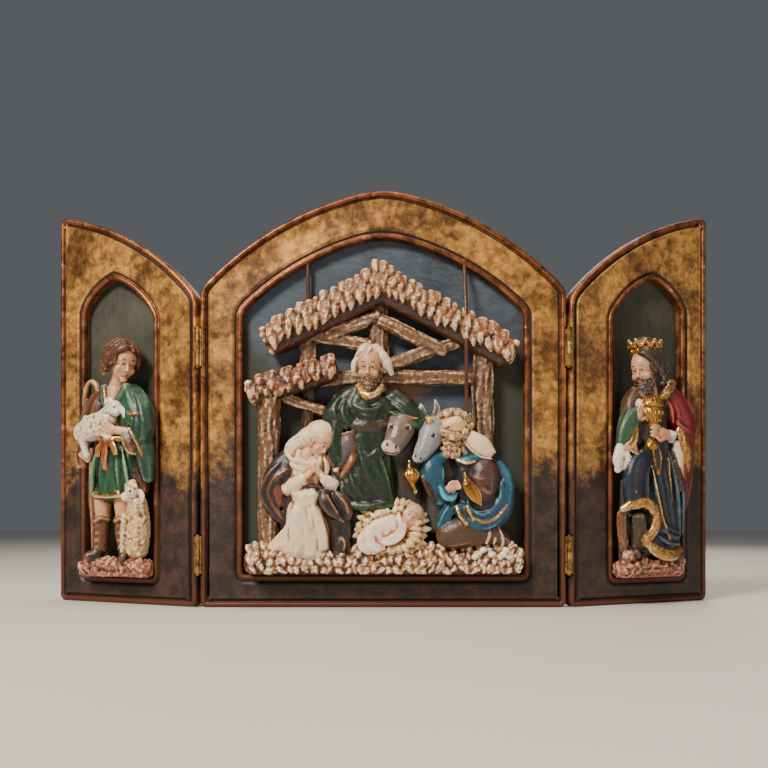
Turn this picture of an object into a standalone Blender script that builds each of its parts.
"""A table-top folding altarpiece: a centre panel and two hinged wings, each with a cast relief in a niche.

Metres, +Z up. The front faces -Y and the origin is the centre of the centre frame's underside.
Reliefs are drawn in millimetres from the foot of their niche and stretched to the niche's width and height.
"""

from math import atan2, cos, pi, radians, sin, sqrt

import bmesh
import bpy
from mathutils import Matrix, Vector, noise

# Driving dimensions of the centre panel
CENTRE_WIDTH = 0.220
CENTRE_SHOULDER = 0.1915
CENTRE_ARC_RADIUS = 0.192
CENTRE_ARC_OFFSET = 0.032
CENTRE_DEPTH = 0.020
CENTRE_STILE = 0.0255
CENTRE_RAIL = 0.0197
CENTRE_ARCH_BAND = 0.028
CENTRE_BOARD = 0.004

# Driving dimensions of a wing, from its hinge edge outwards
WING_WIDTH = 0.109
WING_SHOULDER = 0.1875
WING_PEAK = 0.250
WING_ARC_RADIUS = 0.196
WING_DEPTH = 0.009
WING_INNER_STILE = 0.0325
WING_OUTER_STILE = 0.0210
WING_RAIL = 0.0170
WING_NICHE_PEAK = 0.2050
WING_PEAK_SHIFT = 0.0045
WING_HINGE_SPRING_DROP = 0.0270
WING_OUTER_SPRING_DROP = 0.0180
WING_HINGE_ARC_SHARE = 1.1
WING_OUTER_ARC_SHARE = 0.7
WING_BOARD = 0.0022

# Mouldings of all three frames
BEAD = 0.0034
GROOVE = 0.0012
GROOVE_DROP = 0.0016
FIELD_DROP = 0.0004
SHADE_BAND = 0.0036
CORNER_ROUND = 0.0040
SHOULDER_ROUND = 0.0100
WING_SHOULDER_ROUND = 0.0160
PEAK_ROUND = 0.0035
APEX_ROUND = 0.0450
NICHE_FOOT_ROUND = 0.0015
NICHE_SHOULDER_ROUND = 0.0080
SPRING_ROUND = 0.0100
EDGE_ROUND = 0.0035
REVEAL = 0.0060
REBATE = 0.0040

# Hinges and fits
CLEARANCE = 0.0003
SWEEP_BACK = radians(25)
HINGE_HEIGHT = 0.0225
HINGE_LEVELS = (0.0315, 0.1560)
LEAF_WIDTH = 0.0052
LEAF_THICKNESS = 0.0008
KNUCKLE_RADIUS = 0.0015
PIN_RADIUS = 0.0006
PIN_HEAD_RADIUS = 0.0011
PIN_HEAD_HEIGHT = 0.0006
KNUCKLES = 3
KNUCKLE_SIDES = 8
NECK_FRONT = 0.0002
NECK_SHARE = 0.8

# How far the cutters reach past what they cut
CUT_FRONT = 0.002
CUT_SIDE = 0.060
CUT_BACK = 0.030

# Reliefs, drawn in millimetres for niches of this width and height
CENTRE_DRAWN = (169.0, 202.3)
WING_DRAWN = (55.5, 188.0)
MILLIMETRE = 0.001
RELIEF_VOXEL = 0.0009
NATIVITY_FACES = 3300
WING_RELIEF_FACES = 1030

FRONT = -CENTRE_DEPTH / 2
# The gap that lets a wing's rounded back edge swing past the centre panel's side
GAP = 2 * (WING_DEPTH * sin(SWEEP_BACK) - EDGE_ROUND * (sin(SWEEP_BACK) + cos(SWEEP_BACK) - 1)
           + CLEARANCE) / (1 + cos(SWEEP_BACK))
PIN_X = CENTRE_WIDTH / 2 + GAP / 2


def clear_scene():
    for obj in list(bpy.data.objects):
        bpy.data.objects.remove(obj, do_unlink=True)


def material(name, colour, roughness, metallic=0.0):
    made = bpy.data.materials.new(name)
    made.use_nodes = True
    shader = made.node_tree.nodes["Principled BSDF"]
    shader.inputs["Base Color"].default_value = (*colour, 1)
    shader.inputs["Roughness"].default_value = roughness
    shader.inputs["Metallic"].default_value = metallic
    return made


def as_object(name, bm, look, parent=None):
    """An object from a bmesh, its faces pointing out, under the parent's axis."""
    bmesh.ops.recalc_face_normals(bm, faces=bm.faces)
    mesh = bpy.data.meshes.new(name)
    bm.to_mesh(mesh)
    bm.free()
    obj = bpy.data.objects.new(name, mesh)
    bpy.context.collection.objects.link(obj)
    if look:
        mesh.materials.append(look)
    obj.parent = parent
    mesh.shade_smooth()
    mesh.set_sharp_from_angle(angle=radians(35))
    return obj


def hidden(obj):
    obj.hide_render = True
    obj.display_type = "WIRE"
    return obj


def boolean(obj, tool, operation):
    modifier = obj.modifiers.new(tool.name, "BOOLEAN")
    modifier.operation = operation
    modifier.object = tool
    modifier.solver = "EXACT"


# Outlines are lists of (x, z) points that run anticlockwise from the foot, seen from the front


def arc(cx, cz, radius, start, end, steps):
    turns = [start + (end - start) * i / steps for i in range(steps + 1)]
    return [(cx + radius * cos(turn), cz + radius * sin(turn)) for turn in turns]


def rounded_corner(before, here, after, radius, steps=2):
    """The points of an arc that rounds a corner, one more than its steps."""
    here = Vector(here)
    back = (Vector(before) - here).normalized()
    ahead = (Vector(after) - here).normalized()
    half = back.angle(ahead) / 2
    reach = radius * cos(half) / sin(half)
    hub = here + (back + ahead).normalized() * (radius / sin(half))
    first = here + back * reach - hub
    last = here + ahead * reach - hub
    return [tuple(hub + first.lerp(last, k / steps).normalized() * radius) for k in range(steps + 1)]


def offset(points, distance):
    """The closed outline moved inwards by a distance, with mitred corners."""
    out = []
    count = len(points)
    for i in range(count):
        a, b, c = (Vector(points[(i + k) % count]) for k in (-1, 0, 1))
        before = Vector((a.y - b.y, b.x - a.x)).normalized()
        after = Vector((b.y - c.y, c.x - b.x)).normalized()
        out.append(tuple(b + (before + after) * (distance / (1 + before.dot(after)))))
    return out


def centre_outline(side, foot, band, foot_round, shoulder_round, arc_steps=6):
    """The centre panel's outline, drawn in by its stile, its foot rail and the band over its arch."""
    half = CENTRE_WIDTH / 2 - side
    radius = CENTRE_ARC_RADIUS - band
    reach = CENTRE_WIDTH / 2 + CENTRE_ARC_OFFSET
    hub = CENTRE_SHOULDER - sqrt(CENTRE_ARC_RADIUS**2 - reach**2)
    start = atan2(sqrt(radius**2 - (half + CENTRE_ARC_OFFSET) ** 2), half + CENTRE_ARC_OFFSET)
    end = atan2(sqrt(radius**2 - CENTRE_ARC_OFFSET**2), CENTRE_ARC_OFFSET)
    right = arc(-CENTRE_ARC_OFFSET, hub, radius, start, end, arc_steps)
    foot_corner = rounded_corner((-half, foot), (half, foot), right[0], foot_round)
    shoulder = rounded_corner((half, foot), right[0], right[1], shoulder_round, 3)
    before = right[-2]
    apex = rounded_corner(before, right[-1], (-before[0], before[1]), APEX_ROUND)
    flank = foot_corner + shoulder + right[1:-1]
    return flank + apex + [(-x, z) for x, z in reversed(flank)]


def hub_over(a, b, radius):
    """The centre of the arc of this radius that rises over the chord from a to b."""
    a, b = Vector(a), Vector(b)
    chord = b - a
    down = Vector((chord.y, -chord.x)).normalized()
    if down.y > 0:
        down = -down
    return (a + b) / 2 + down * sqrt(radius**2 - (chord.length / 2) ** 2)


def arc_over(a, b, radius, steps):
    """The arc of this radius that rises over the chord, from a to b."""
    hub = hub_over(a, b, radius)
    start = atan2(a[1] - hub.y, a[0] - hub.x)
    end = atan2(b[1] - hub.y, b[0] - hub.x)
    return arc(hub.x, hub.y, radius, start, end, steps)


def wing_outline():
    """A wing's outline from its hinge edge, at x = 0, to its outer edge, where the arch peaks."""
    low, high = (0, WING_SHOULDER), (WING_WIDTH, WING_PEAK)
    spring = WING_NICHE_PEAK - WING_OUTER_SPRING_DROP
    top = arc_over(high, low, WING_ARC_RADIUS, 6)
    points = rounded_corner(low, (0, 0), (WING_WIDTH, 0), CORNER_ROUND)
    points += rounded_corner((0, 0), (WING_WIDTH, 0), high, CORNER_ROUND)
    points += [(WING_WIDTH, spring + lift * SPRING_ROUND) for lift in (-1, 0, 1)]
    points += rounded_corner((WING_WIDTH, 0), high, top[1], PEAK_ROUND)
    points += top[1:-1]
    points += rounded_corner(top[-2], low, (0, 0), WING_SHOULDER_ROUND, 3)
    return points


def wing_niche():
    """A wing's niche, a leaning lancet, with a point for each of the wing outline's."""
    left, right = WING_INNER_STILE, WING_WIDTH - WING_OUTER_STILE
    width = right - left
    foot = WING_RAIL
    inner = (left, WING_NICHE_PEAK - WING_HINGE_SPRING_DROP)
    outer = (right, WING_NICHE_PEAK - WING_OUTER_SPRING_DROP)
    top = ((left + right) / 2 + WING_PEAK_SHIFT, WING_NICHE_PEAK)
    rise = arc_over(outer, top, WING_OUTER_ARC_SHARE * width, 4)
    fall = arc_over(top, inner, WING_HINGE_ARC_SHARE * width, 5)
    points = rounded_corner(inner, (left, foot), (right, foot), NICHE_FOOT_ROUND)
    points += rounded_corner((left, foot), (right, foot), outer, NICHE_FOOT_ROUND)
    points += rounded_corner((right, foot), outer, rise[1], SPRING_ROUND)
    points += rise[1:]
    points += fall[1:-1]
    points += rounded_corner(fall[-2], inner, (left, foot), SPRING_ROUND, 3)
    return points


def skin(bm, rings, tube=False):
    """Rings of as many points each, joined by quads. A tube's last ring meets its first."""
    loops = [[bm.verts.new(point) for point in ring] for ring in rings]
    pairs = list(zip(loops, loops[1:]))
    if tube:
        pairs.append((loops[-1], loops[0]))
    else:
        bm.faces.new(loops[0])
        bm.faces.new(loops[-1])
    for low, high in pairs:
        for i in range(len(low)):
            j = (i + 1) % len(low)
            bm.faces.new((low[i], low[j], high[j], high[i]))


def between(first, second, share):
    return [tuple(Vector(a).lerp(Vector(b), share)) for a, b in zip(first, second)]


def frame_stations(outer, niche, depth):
    """The frame's outlines from its back, over its beads and field, into the niche and its rebate."""
    half = BEAD / 2
    field_out = offset(outer, BEAD + GROOVE)
    field_in = offset(niche, -BEAD - SHADE_BAND)
    return (
        (offset(outer, EDGE_ROUND * 0.6), depth),
        (outer, depth - EDGE_ROUND),
        (outer, half),
        (offset(outer, half * 0.3), half * 0.3),
        (offset(outer, half), 0),
        (offset(outer, BEAD), half),
        (field_out, GROOVE_DROP),
        (between(field_out, field_in, 0.3), FIELD_DROP),
        (between(field_out, field_in, 0.8), FIELD_DROP),
        (offset(niche, -BEAD - GROOVE), GROOVE_DROP),
        (offset(niche, -BEAD), half),
        (offset(niche, -half), 0),
        (offset(niche, -half * 0.3), half * 0.3),
        (niche, half),
        (niche, REVEAL),
        (offset(niche, -REBATE), REVEAL),
        (offset(niche, -REBATE), depth),
    )


def across(outline, side, start, back):
    """The outline's points in space, from start out to one side and back behind the front plane."""
    return [(side * (start + x), back, z) for x, z in outline]


def make_frame(name, outer, niche, depth, side, start, look, parent=None):
    bm = bmesh.new()
    rings = [across(ring, side, start, back) for ring, back in frame_stations(outer, niche, depth)]
    skin(bm, rings, tube=True)
    return as_object(name, bm, look, parent)


def make_board(name, niche, thickness, side, start, look, parent=None):
    """The board behind a niche, set into the frame's rebate with a small clearance."""
    edge = offset(niche, CLEARANCE - REBATE)
    front = REVEAL + CLEARANCE
    bm = bmesh.new()
    skin(bm, [across(edge, side, start, back) for back in (front, front + thickness)])
    return as_object(name, bm, look, parent)


def box(name, low, high, look=None, parent=None):
    bm = bmesh.new()
    bmesh.ops.create_cube(bm, size=1)
    size = Vector(high) - Vector(low)
    middle = (Vector(high) + Vector(low)) / 2
    bmesh.ops.transform(bm, matrix=Matrix.Translation(middle) @ Matrix.Diagonal((*size, 1)), verts=bm.verts)
    return as_object(name, bm, look, parent)


def knuckle(bm, low, high):
    """A short tube about the pin's axis, with its bore."""
    rings = []
    bore = PIN_RADIUS + CLEARANCE
    for radius, z in ((KNUCKLE_RADIUS, low), (KNUCKLE_RADIUS, high), (bore, high), (bore, low)):
        turns = [2 * pi * (i + 0.5) / KNUCKLE_SIDES for i in range(KNUCKLE_SIDES)]
        rings.append([(radius * cos(a), radius * sin(a), z) for a in turns])
    skin(bm, rings, tube=True)


def make_leaf(name, level, side, owned, look, parent, toward):
    """A hinge leaf let into a side edge, with its knuckles. toward is 1 for the wing, -1 for the centre."""
    pitch = HINGE_HEIGHT / KNUCKLES
    foot = level - HINGE_HEIGHT / 2
    out = side * toward
    bm = bmesh.new()
    for k in owned:
        knuckle(bm, foot + k * pitch + CLEARANCE / 2, foot + (k + 1) * pitch - CLEARANCE / 2)
    obj = as_object(name, bm, look, parent)
    near, far = GAP / 2, GAP / 2 + LEAF_THICKNESS
    low = (min(out * near, out * far), 0, foot + CLEARANCE / 2)
    high = (max(out * near, out * far), LEAF_WIDTH, foot + HINGE_HEIGHT - CLEARANCE / 2)
    plate = hidden(box(name + "_plate", low, high, None, parent))
    boolean(obj, plate, "UNION")
    ends = sorted((out * (PIN_RADIUS + 2 * CLEARANCE), out * far))
    for k in owned:
        low = (ends[0], -NECK_FRONT, foot + k * pitch + CLEARANCE / 2)
        high = (ends[1], KNUCKLE_RADIUS * NECK_SHARE, foot + (k + 1) * pitch - CLEARANCE / 2)
        boolean(obj, hidden(box("%s_neck_%d" % (name, k), low, high, None, parent)), "UNION")
    return obj


def make_pin(name, level, look, parent):
    foot = level - HINGE_HEIGHT / 2
    top = level + HINGE_HEIGHT / 2
    stations = (
        (PIN_HEAD_RADIUS, foot - PIN_HEAD_HEIGHT - CLEARANCE),
        (PIN_HEAD_RADIUS, foot - CLEARANCE),
        (PIN_RADIUS, foot - CLEARANCE),
        (PIN_RADIUS, top + CLEARANCE),
        (PIN_HEAD_RADIUS, top + CLEARANCE),
        (PIN_HEAD_RADIUS, top + PIN_HEAD_HEIGHT + CLEARANCE),
    )
    turns = [2 * pi * (i + 0.5) / KNUCKLE_SIDES for i in range(KNUCKLE_SIDES)]
    bm = bmesh.new()
    skin(bm, [[(radius * cos(a), radius * sin(a), z) for a in turns] for radius, z in stations])
    return as_object(name, bm, look, parent)


def cut_mortise(frame, name, level, side, toward, parent):
    """The shallow pocket in a frame's side edge that takes a hinge leaf and clears its knuckles."""
    out = side * toward
    near, far = GAP / 2 - CLEARANCE, GAP / 2 + LEAF_THICKNESS + CLEARANCE
    reach = HINGE_HEIGHT / 2 + PIN_HEAD_HEIGHT + 2 * CLEARANCE
    low = (min(out * near, out * far), -CUT_FRONT, level - reach)
    high = (max(out * near, out * far), LEAF_WIDTH + CLEARANCE, level + reach)
    boolean(frame, hidden(box(name, low, high, None, parent)), "DIFFERENCE")


# Reliefs are built of closed forms that overlap, in millimetres: x to the right, out from the board, z up


class Carving:
    """The forms of one casting."""

    def __init__(self):
        self.bm = bmesh.new()

    def blob(self, x, out, z, across, deep, tall, lean=0):
        """An egg of these half sizes, leant by degrees in the plane of the board."""
        place = Matrix.Translation((x, -out, z)) @ Matrix.Rotation(radians(lean), 4, "Y")
        size = Matrix.Diagonal((across, deep, tall, 1))
        bmesh.ops.create_icosphere(self.bm, subdivisions=2, radius=1, matrix=place @ size)

    def limb(self, *stops, folds=0, groove=0.0, sides=14, boxy=1.0):
        """A form along stops of (x, out, z, half width, half depth), with folds that run along it."""
        spots = [Vector((stop[0], -stop[1], stop[2])) for stop in stops]
        wide = [stop[3] for stop in stops]
        deep = [stop[4] if len(stop) > 4 else stop[3] for stop in stops]
        first = (spots[0] - spots[1]).normalized() * min(wide[0], deep[0]) * 0.5
        last = (spots[-1] - spots[-2]).normalized() * min(wide[-1], deep[-1]) * 0.5
        spots = [spots[0] + first] + spots + [spots[-1] + last]
        wide = [wide[0] * 0.6] + wide + [wide[-1] * 0.6]
        deep = [deep[0] * 0.6] + deep + [deep[-1] * 0.6]
        rings = []
        for i, spot in enumerate(spots):
            along = (spots[min(i + 1, len(spots) - 1)] - spots[max(i - 1, 0)]).normalized()
            side = along.cross(Vector((0, 1, 0)))
            side = side.normalized() if side.length > 0.05 else Vector((1, 0, 0))
            front = side.cross(along)
            ring = []
            for k in range(sides):
                turn = 2 * pi * k / sides
                swell = 1 + groove * cos(folds * turn + i * 0.7)
                c, s = cos(turn), sin(turn)
                c, s = abs(c) ** boxy * (1 if c > 0 else -1), abs(s) ** boxy * (1 if s > 0 else -1)
                ring.append(spot + (side * c * wide[i] + front * s * deep[i]) * swell)
            rings.append(ring)
        skin(self.bm, rings)

    def beam(self, a, b, half_width, half_depth):
        """A squared timber with slightly waned edges."""
        self.limb((*a, half_width, half_depth), (*b, half_width, half_depth), sides=12, boxy=0.6)

    def thatch(self, ridge, eave, half_thick, low_out, high_out, tufts):
        """A slab of reed with hanging bundles along its front edge."""
        middle = (low_out + high_out) / 2
        half = (high_out - low_out) / 2
        a = (ridge[0], middle, ridge[1], half_thick * 0.8, half * 0.92)
        b = (eave[0], middle, eave[1], half_thick * 0.8, half * 0.92)
        self.limb(a, b, sides=16, boxy=0.5)
        along = Vector((eave[0] - ridge[0], eave[1] - ridge[1]))
        for row, (lift, reach) in enumerate(((0.9, high_out), (0.5, high_out - half * 0.6))):
            for i in range(tufts):
                share = (i + 0.5 + 0.5 * row) / (tufts + 0.5)
                x, z = Vector(ridge) + along * share
                wobble = noise.noise((x * 0.37, z * 0.37, row))
                girth = abs(along.length) / tufts * (0.62 + 0.2 * wobble)
                top = z + half_thick * lift
                foot = z - half_thick * (0.25 + 0.5 * wobble)
                drift = along.x / along.length * (1.5 + 1.5 * wobble)
                tip = (x + drift, reach - 1, foot, girth * 0.6, 1.8)
                self.limb((x, reach - 3, top, girth, 3.0), tip, sides=8)

    def straw(self, left, right, low, high, out, count):
        """Upright bundles of straw, side by side, along a bank."""
        for i in range(count):
            x = left + (right - left) * (i + 0.5) / count
            wobble = noise.noise((x * 0.31, low, 0.5))
            girth = (right - left) / count * 0.55
            tip = (x + 2 * wobble, out, high + 2 * wobble, girth * 0.8, 2.5)
            self.limb((x, out + wobble, low, girth, 3), tip, sides=8)


def seat_cutter(name, niche, side, start, parent):
    """What a relief must keep clear of: its board, its niche's walls and the frame's front."""
    wide = offset(niche, -CUT_SIDE)
    snug = offset(niche, CLEARANCE)
    front = -CLEARANCE
    bm = bmesh.new()
    stations = ((wide, REVEAL + CUT_BACK), (wide, front), (snug, front), (snug, REVEAL))
    skin(bm, [across(outline, side, start, back) for outline, back in stations])
    return hidden(as_object(name, bm, None, parent))


def make_relief(name, carving, scale, foot, faces, cut, look, parent=None):
    """The carving's forms fused into one body, eased down to a number of faces and fitted to its niche."""
    to_place = Matrix.Translation(foot) @ Matrix.Diagonal((scale[0], MILLIMETRE, scale[1], 1))
    bmesh.ops.transform(carving.bm, matrix=to_place, verts=carving.bm.verts)
    obj = as_object(name, carving.bm, look, parent)
    fuse = obj.modifiers.new("fuse", "REMESH")
    fuse.mode = "VOXEL"
    fuse.voxel_size = RELIEF_VOXEL
    graph = bpy.context.evaluated_depsgraph_get()
    graph.update()
    fused = bpy.data.meshes.new_from_object(obj.evaluated_get(graph))
    obj.modifiers.clear()
    obj.data = fused
    ease = obj.modifiers.new("ease", "DECIMATE")
    ease.ratio = faces / (2 * len(fused.polygons))
    boolean(obj, cut, "DIFFERENCE")
    return obj


def carve_stable(c):
    c.limb((-67.8, 9, 4, 6.2), (-68.2, 9, 60, 6.0), (-67.8, 9, 108, 6.4), sides=10)
    c.limb((59.8, 6, 4, 6.3, 5.5), (59.8, 6, 80, 6.0, 5.5), (59.8, 6, 142, 6.3, 5.5), sides=10)
    c.limb((-2.9, 5, 110, 5.4, 4.5), (-2.9, 5, 174, 5.8, 4.5), sides=10)
    c.limb((-45.4, 4, 60, 3.9, 3.5), (-45.4, 4, 120, 4.2, 3.5), (-45.4, 5, 160, 5.8, 4.5), sides=10)
    c.beam((-46, 7, 144), (-8, 7, 137.3), 3.8, 3.5)
    c.beam((-33, 8, 143), (-3, 8, 154.7), 3.6, 3.5)
    c.beam((-48, 5, 117.6), (-2, 5, 117.6), 5.0, 4.0)
    c.beam((-2, 8, 152.3), (36, 8, 134), 4.2, 3.5)
    c.beam((0, 7, 123.5), (56, 7, 141.7), 3.2, 3.5)
    c.beam((0, 5, 118), (60, 5, 118), 4.5, 4.0)
    c.beam((-66, 6, 108.6), (-30, 6, 97), 2.6, 3.0)
    c.limb((-45.4, 3, 150, 1.6), (-45.4, 3, 190, 1.6), sides=8)
    c.limb((48.7, 17, 92, 1.6), (48.7, 15, 150, 1.6), (48.7, 4, 189, 1.6), sides=8)
    c.thatch((2, 179), (-68, 144.5), 10.0, 0, 18, 11)
    c.thatch((-2, 179), (77, 136), 10.0, 0, 18, 12)
    c.thatch((-30, 126), (-77.5, 109.5), 8.5, 2, 17, 9)
    c.limb((-79.5, 10.5, 9, 9.6, 9.5), (80, 10.5, 9, 9.6, 9.5), sides=14, boxy=0.5)
    c.straw(-81, 81, 6, 16.5, 19.5, 30)


def carve_standing_man(c):
    c.blob(-7.9, 12, 125, 8.6, 8.5, 12)
    c.blob(-7.9, 14.5, 112.5, 6.6, 6, 6)
    c.limb((-3, 12, 135, 4, 4), (1.5, 12, 130, 3.6, 4), (3.4, 12, 124, 2.4, 3))
    c.limb((-15, 12, 133, 3, 4), (-16.6, 12, 122, 2.4, 3))
    c.limb((-9, 10, 110, 12, 6), (-10, 10, 105, 18.5, 8), (-10, 10, 96, 20.5, 9.5), (-10, 11, 86, 17, 9.5),
           (-10, 11, 70, 18.5, 10), (-9.5, 11, 52, 19.5, 10), (-9.5, 11, 14, 20, 10),
           folds=7, groove=0.06, sides=28)
    c.limb((6, 11, 104, 7, 6), (14, 13, 97, 6.5, 6), (21, 13, 93, 5, 5))
    c.limb((-26, 11, 101, 7, 7), (-31, 13, 85, 6.5, 6.5), (-28, 16, 72, 5, 5))
    c.limb((-28, 17, 84, 4, 3), (-27, 17, 62, 4.5, 3))
    c.limb((-35, 17, 74, 1.8), (-25, 17, 58, 1.8))
    c.limb((-24, 18, 72, 3, 2.5), (-12, 18, 62, 3, 2.5), (2, 18, 48, 3, 2.5))
    c.limb((-27, 16, 88, 2.2), (-10, 20, 86, 2.4), (7, 16, 88, 2.2))


def carve_animals(c):
    c.blob(9.5, 14, 86, 9.5, 8, 11, lean=-12)
    c.blob(4.8, 17.5, 77, 6.2, 6, 6.5)
    c.limb((1, 13, 94, 2.4), (-4, 14, 97, 1.4))
    c.limb((16, 13, 95, 2.4), (21, 13, 96, 1.6))
    c.limb((10, 9, 84, 12, 7), (12, 8, 60, 13, 6), (12, 8, 30, 13, 6))
    c.blob(27, 14, 82, 8.2, 7.5, 11, lean=18)
    c.blob(21.2, 17.5, 70.5, 5.2, 5.5, 6)
    c.limb((23.5, 13, 90, 2.6), (22.6, 14, 99, 1.6))
    c.limb((30, 12, 90, 3), (30, 13, 100, 1.8))
    c.limb((30, 8, 84, 9, 6), (36, 7, 60, 12, 6), (36, 8, 30, 13, 6))


def carve_kneeling_king(c):
    c.blob(40.6, 14, 86.5, 10, 9, 9.5)
    c.blob(39, 16, 76.5, 6.2, 6, 6.5)
    c.blob(55, 13, 78, 9.5, 7.5, 8.5, lean=20)
    c.limb((50, 12, 76, 13, 7), (55, 12, 66, 17, 9), (58, 12, 52, 17.5, 10), (58, 12, 36, 16.5, 10),
           (56, 12, 16, 16, 9), folds=6, groove=0.06, sides=26)
    c.limb((46, 15, 68, 6.5), (33, 17, 61, 6.5), (27.5, 17, 60, 5))
    c.limb((29, 17, 60, 5.5), (36, 18, 50, 4.5))
    c.blob(40.3, 19, 52.8, 5.2, 3.6, 5.4)
    c.blob(51, 18.5, 50.4, 6.2, 4, 9, lean=-25)
    c.blob(58.3, 16, 57, 8.4, 6.5, 12, lean=-8)
    c.limb((37, 14, 48, 4, 4), (35, 14, 32, 4.5, 4))
    c.limb((33, 14, 27, 6, 5), (48, 15, 28, 8.5, 6), (60, 14, 24, 7, 6))
    c.blob(67, 14, 21.5, 7, 5.5, 5.5)
    c.limb((69, 12, 66, 5, 6), (74, 11, 52, 4, 6), (72, 11, 36, 4, 6), (62, 13, 25, 4, 5))


def carve_infant(c):
    c.blob(4, 12, 25, 23.5, 8.5, 16)
    c.blob(4, 13, 38, 15, 6, 10)
    c.blob(16.2, 18, 34.6, 7.6, 6.8, 7.2)
    c.limb((10, 18, 30, 5.5, 5), (0, 18, 25, 6, 5), (-10.7, 18, 17, 4.5, 4.5), folds=4, groove=0.08)
    for i in range(9):
        turn = radians(20 + 35 * i)
        tip = (4 + 25 * cos(turn), 14, 27 + 19 * sin(turn), 1.2, 1.5)
        c.limb((4 + 16 * cos(turn), 16, 27 + 11 * sin(turn), 3, 2.5), tip, sides=6)


def carve_kneeling_woman(c):
    c.blob(-42, 10, 81, 15, 9, 13, lean=18)
    c.blob(-36.6, 15, 76.6, 7, 6.5, 8.4)
    c.limb((-44, 11, 76, 11, 7), (-45, 12, 66, 14, 8.5), (-46, 12, 54, 15, 9), (-46, 12, 42, 13.5, 9),
           (-46, 12, 26, 18, 9), (-46, 12, 10, 20, 9), folds=6, groove=0.07, sides=26)
    c.blob(-39.5, 18.5, 61.6, 5, 3.5, 5.6, lean=-20)
    c.limb((-55, 14, 64, 6, 5), (-52, 17, 54, 5.6, 5), (-43, 19, 57, 4, 4))
    c.limb((-34, 15, 66, 5, 5), (-30.8, 17, 55.2, 5, 4.5), (-36, 19, 59, 3.6, 3.5))
    c.limb((-58, 11, 72, 5, 6), (-66, 11, 56, 5, 6), (-69, 11, 44, 4.6, 6), (-62, 13, 33, 4.6, 5))
    c.limb((-33, 13, 53, 5.5, 5), (-26, 14, 42, 7, 5), (-24, 14, 30, 7, 5), (-26, 13, 16, 7, 5))
    c.blob(-44, 15, 29, 13, 7, 14)
    c.blob(-63.2, 12, 20.3, 8, 6, 6)


def carve_offerings(c):
    c.blob(16.8, 18.5, 58.6, 5.6, 4.8, 5.4)
    c.limb((15.4, 17.5, 66, 1.6), (16.2, 18, 62, 2.4), (16.8, 18.5, 58, 3), (18.5, 18, 52, 2.2),
           (19.4, 17, 49, 1.2), sides=8)
    c.limb((19.5, 14, 59, 2, 6), (24, 17, 57, 1.6), (29.5, 17, 45.7, 1.6), (30.5, 14, 40, 1.6), sides=8)


def carve_shepherd(c):
    c.limb((-27, 9, 4, 9, 8.6), (31, 9, 4.5, 9, 8.6), sides=12, boxy=0.6)
    c.blob(7.2, 12, 134.5, 12.4, 9.5, 13.5, lean=10)
    c.blob(12.4, 14.5, 131, 8.4, 7.5, 10.5, lean=-8)
    c.limb((-6, 11, 138, 5, 5), (-8, 11, 128, 4, 4), (-2, 11, 121, 3, 4))
    c.limb((3.5, 11, 124, 5.6, 5), (4.5, 10, 113, 8, 6))
    c.limb((5, 9, 119, 9, 6), (5, 9, 113, 16, 8), (5, 10, 101, 18.5, 9), (4, 11, 85, 15, 9),
           (4, 11, 72, 16, 9.5), (4.3, 11, 49, 18, 9.5), folds=6, groove=0.06, sides=26)
    c.limb((18, 10, 112, 7, 6.5), (26, 13, 100, 8.5, 7), (28, 14, 89, 7.5, 7), (24, 16, 80, 6, 6),
           folds=4, groove=0.08)
    c.limb((24, 16, 86, 6, 5), (27.5, 15, 70, 5, 5), (30, 13, 58, 2.5, 3))
    c.blob(-4.2, 17.5, 92.5, 16.6, 7.5, 10.5, lean=8)
    c.blob(11.4, 19.5, 102.6, 7, 6, 7.5, lean=15)
    c.limb((6, 19, 103.5, 2.6), (3, 19, 99.5, 1.8))
    c.limb((16, 19, 102, 2.4), (19, 19.5, 96.5, 1.8))
    c.limb((-13, 18, 86, 4.5), (-12.6, 17.5, 74, 2.4))
    c.limb((23, 17, 85.5, 4.4), (8, 22, 89.5, 4.6, 3.4), (-5, 22.5, 91.5, 3, 2.4))
    c.blob(-13, 16, 74, 6.6, 4.5, 5.2)
    c.limb((-10, 10, 111, 7, 6.5), (-17.5, 11, 100, 7, 7), (-19, 13, 86, 6, 6), (-16, 15, 76, 5, 5))
    c.limb((-19.8, 12, 100, 1.9), (-20.6, 12, 114, 1.9), (-18, 12.5, 121, 1.9), (-14, 12.5, 123.6, 1.9),
           (-10.4, 12.5, 119, 1.9), (-9.8, 12, 108, 1.9), (-11.4, 12, 96, 1.9), sides=8)
    c.limb((-13, 13, 80, 1.8), (-14.6, 13, 56, 1.8), (-15.2, 12, 34, 1.8), (-15.4, 11, 6, 1.8), sides=8)
    c.limb((5.2, 19, 86, 4.5, 3), (4, 20, 76, 6, 2.4), (6.5, 20, 64, 6.5, 2.2))
    c.limb((-11, 13, 84, 2.6, 4), (5, 18, 83.5, 2.8, 3), (20, 13, 84, 2.6, 4))
    c.limb((22, 8, 96, 6, 5), (24, 7, 70, 6, 5), (23, 7, 48, 5, 4))
    c.limb((-5.8, 11, 52, 6.4), (-7.6, 11, 32, 5.6), (-9, 11, 14, 5))
    c.limb((10.8, 11, 52, 6.4), (11.4, 11, 32, 5.6), (12, 11, 14, 5))
    c.blob(-10, 14.5, 13, 8.2, 6, 5)
    c.blob(14, 14.5, 11.5, 11, 6.5, 5)
    c.limb((23, 11, 14, 11, 7), (23.5, 11, 34, 12, 7.5), (22.5, 12, 46, 9, 6.5), sides=14)
    c.blob(21, 14, 53, 8, 6, 7.6, lean=-20)


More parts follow.
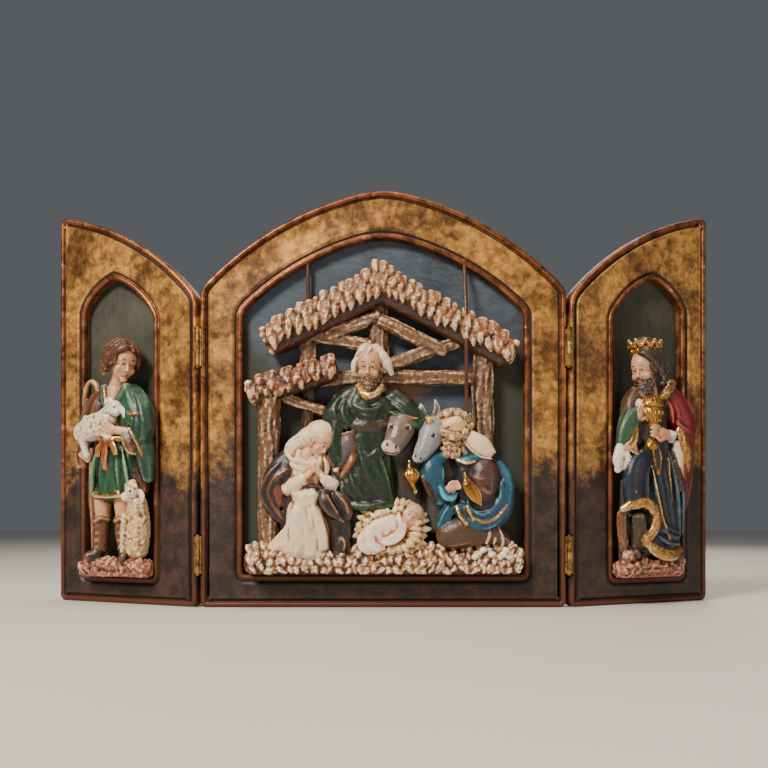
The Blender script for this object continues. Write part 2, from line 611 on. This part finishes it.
def carve_standing_king(c):
    c.limb((-34, 9, 4.5, 9, 8.6), (26, 9, 4, 9, 8.6), sides=12, boxy=0.6)
    c.blob(-8.2, 12, 130, 12.4, 9.5, 13)
    c.blob(-13.5, 15, 127, 8.4, 7.5, 11, lean=6)
    c.limb((-8.2, 12, 137, 12.4, 9), (-8.2, 12, 141, 12.2, 9), (-8.2, 12, 146, 13.2, 9.5), sides=16)
    c.blob(-7.5, 12, 146, 9.5, 8, 6)
    for i in range(7):
        turn = pi * i / 6
        tip = (-8.2 - 13 * cos(turn), 12 + 8.6 * sin(turn), 149, 1.2, 1.2)
        c.limb((-8.2 - 12 * cos(turn), 12 + 8 * sin(turn), 143, 2, 2), tip, sides=6)
    c.limb((2, 11, 134, 5, 6), (6, 11, 127, 4.4, 5), (4, 11, 120, 3.5, 5))
    c.blob(-15.5, 15.5, 117, 7, 6, 7)
    c.limb((-6, 10, 120, 9, 6), (0, 10, 113, 17, 8), (2, 10, 102, 20, 9), (0, 11, 84, 20, 9.5),
           (-2, 11, 62, 22.5, 10), (-3, 11, 40, 24, 10), (-4, 11, 16, 26, 9.5),
           folds=7, groove=0.06, sides=28)
    c.limb((3, 13, 121, 4, 3.5), (9, 13, 117, 4, 4), (4, 16, 108, 3, 3))
    c.limb((14, 11, 113, 8, 7), (22, 12, 100, 8.6, 8), (23, 13, 86, 7.6, 8), (23.5, 11, 66, 6, 7),
           (23, 10, 44, 5.6, 6), (22, 10, 28, 5, 5), folds=5, groove=0.09, sides=20)
    c.limb((-9.6, 19, 114, 1.6), (-9.6, 19, 110, 3), (-9.6, 19, 106.5, 8.2, 7), (-9.6, 19, 103, 8.4, 7),
           (-9.2, 19, 98, 7.4, 6.5), (-9, 19, 92, 3.4, 3.4), (-9, 19, 85, 3.2, 3.2), (-9, 18.5, 80.5, 6, 5),
           sides=14)
    c.limb((7, 17, 86, 5), (-4, 21, 87.5, 5, 3.6), (-13, 20.5, 91, 3.6, 3))
    c.blob(-20, 17, 101, 5, 5, 7.6, lean=-18)
    c.limb((-17, 11, 109, 7, 7), (-25.5, 13, 96, 7, 7), (-28, 15, 84, 5.5, 5.5))
    c.limb((-29, 17, 76, 5), (-22, 19, 81, 4.4, 4))
    c.blob(-23, 19.5, 84, 4.2, 4, 5)
    c.limb((-34, 15, 76, 3.6, 4.5), (-34.6, 15, 64, 4, 4.5))
    c.limb((9.4, 16, 90, 6, 4.5), (12, 15.5, 72, 6, 4), (13.5, 14, 56, 5, 3.5), folds=3, groove=0.1)
    c.blob(-23.5, 16.5, 60, 9, 6.5, 13.5, lean=8)
    c.limb((-28, 16, 50, 6, 5), (-16, 17, 40, 7, 5), (2, 16, 27, 7, 5), (12, 14, 20, 6, 5))
    c.limb((-7.6, 18, 78, 4.4, 2.6), (-7.4, 18, 62, 4.6, 2.4))
    c.blob(-20.5, 15, 15, 6.4, 6, 5)
    c.blob(12.4, 15, 12, 7, 6, 4.6)


def axis_at(name, side):
    """The empty on a wing's hinge axis, turned back to where the wing stands open."""
    empty = bpy.data.objects.new(name, None)
    bpy.context.collection.objects.link(empty)
    empty.location = (side * PIN_X, FRONT, 0)
    empty.rotation_euler = (0, 0, side * SWEEP_BACK)
    return empty


def make_centre(looks):
    outer = centre_outline(0, 0, 0, CORNER_ROUND, SHOULDER_ROUND)
    rounds = (NICHE_FOOT_ROUND, NICHE_SHOULDER_ROUND)
    niche = centre_outline(CENTRE_STILE, CENTRE_RAIL, CENTRE_ARCH_BAND, *rounds)
    at_front = axis_at("centre_front", 0)
    frame = make_frame("centre_frame", outer, niche, CENTRE_DEPTH, 1, 0, looks["gilding"], at_front)
    make_board("centre_back_board", niche, CENTRE_BOARD, 1, 0, looks["sky"], at_front)
    carving = Carving()
    for carve in (carve_stable, carve_standing_man, carve_animals, carve_kneeling_king, carve_infant,
                  carve_kneeling_woman, carve_offerings):
        carve(carving)
    peak = max(z for x, z in niche)
    scale = ((CENTRE_WIDTH - 2 * CENTRE_STILE) / CENTRE_DRAWN[0], (peak - CENTRE_RAIL) / CENTRE_DRAWN[1])
    cut = seat_cutter("centre_niche_cut", niche, 1, 0, at_front)
    foot = (0, REVEAL, CENTRE_RAIL)
    make_relief("nativity_group", carving, scale, foot, NATIVITY_FACES, cut, looks["casting"], at_front)
    return frame


def make_wing(name, side, relief_name, carve, looks):
    axis = axis_at(name + "_axis", side)
    outer, niche = wing_outline(), wing_niche()
    start = GAP / 2
    frame = make_frame(name + "_frame", outer, niche, WING_DEPTH, side, start, looks["gilding"], axis)
    make_board(name + "_board", niche, WING_BOARD, side, start, looks["board"], axis)
    width = WING_WIDTH - WING_INNER_STILE - WING_OUTER_STILE
    middle = start + WING_INNER_STILE + width / 2
    carving = Carving()
    carve(carving)
    cut = seat_cutter(name + "_niche_cut", niche, side, start, axis)
    foot = (side * middle, REVEAL, WING_RAIL)
    scale = (width / WING_DRAWN[0], (WING_NICHE_PEAK - WING_RAIL) / WING_DRAWN[1])
    make_relief(relief_name, carving, scale, foot, WING_RELIEF_FACES, cut, looks["casting"], axis)
    return frame, axis


def main():
    clear_scene()
    looks = {
        "gilding": material("gilding", (0.45, 0.28, 0.13), 0.5),
        "sky": material("sky_paint", (0.08, 0.10, 0.13), 0.7),
        "board": material("board_paint", (0.05, 0.05, 0.035), 0.7),
        "casting": material("painted_casting", (0.30, 0.24, 0.17), 0.55),
        "brass": material("brass", (0.62, 0.42, 0.18), 0.35, 1.0),
    }
    centre = make_centre(looks)
    wings = (
        ("left_wing", -1, "shepherd_group", carve_shepherd),
        ("right_wing", 1, "king_group", carve_standing_king),
    )
    for name, side, relief_name, carve in wings:
        wing, axis = make_wing(name, side, relief_name, carve, looks)
        still = bpy.data.objects.new(name + "_hinge_foot", None)
        bpy.context.collection.objects.link(still)
        still.location = (side * PIN_X, FRONT, 0)
        for height, level in zip(("lower", "upper"), HINGE_LEVELS):
            hinge = "%s_%s_hinge" % (name.split("_")[0], height)
            make_leaf(hinge + "_frame_leaf", level, side, (0, 2), looks["brass"], still, -1)
            make_leaf(hinge + "_wing_leaf", level, side, (1,), looks["brass"], axis, 1)
            make_pin(hinge + "_pin", level, looks["brass"], still)
            cut_mortise(centre, hinge + "_frame_mortise", level, side, -1, still)
            cut_mortise(wing, hinge + "_wing_mortise", level, side, 1, axis)


main()
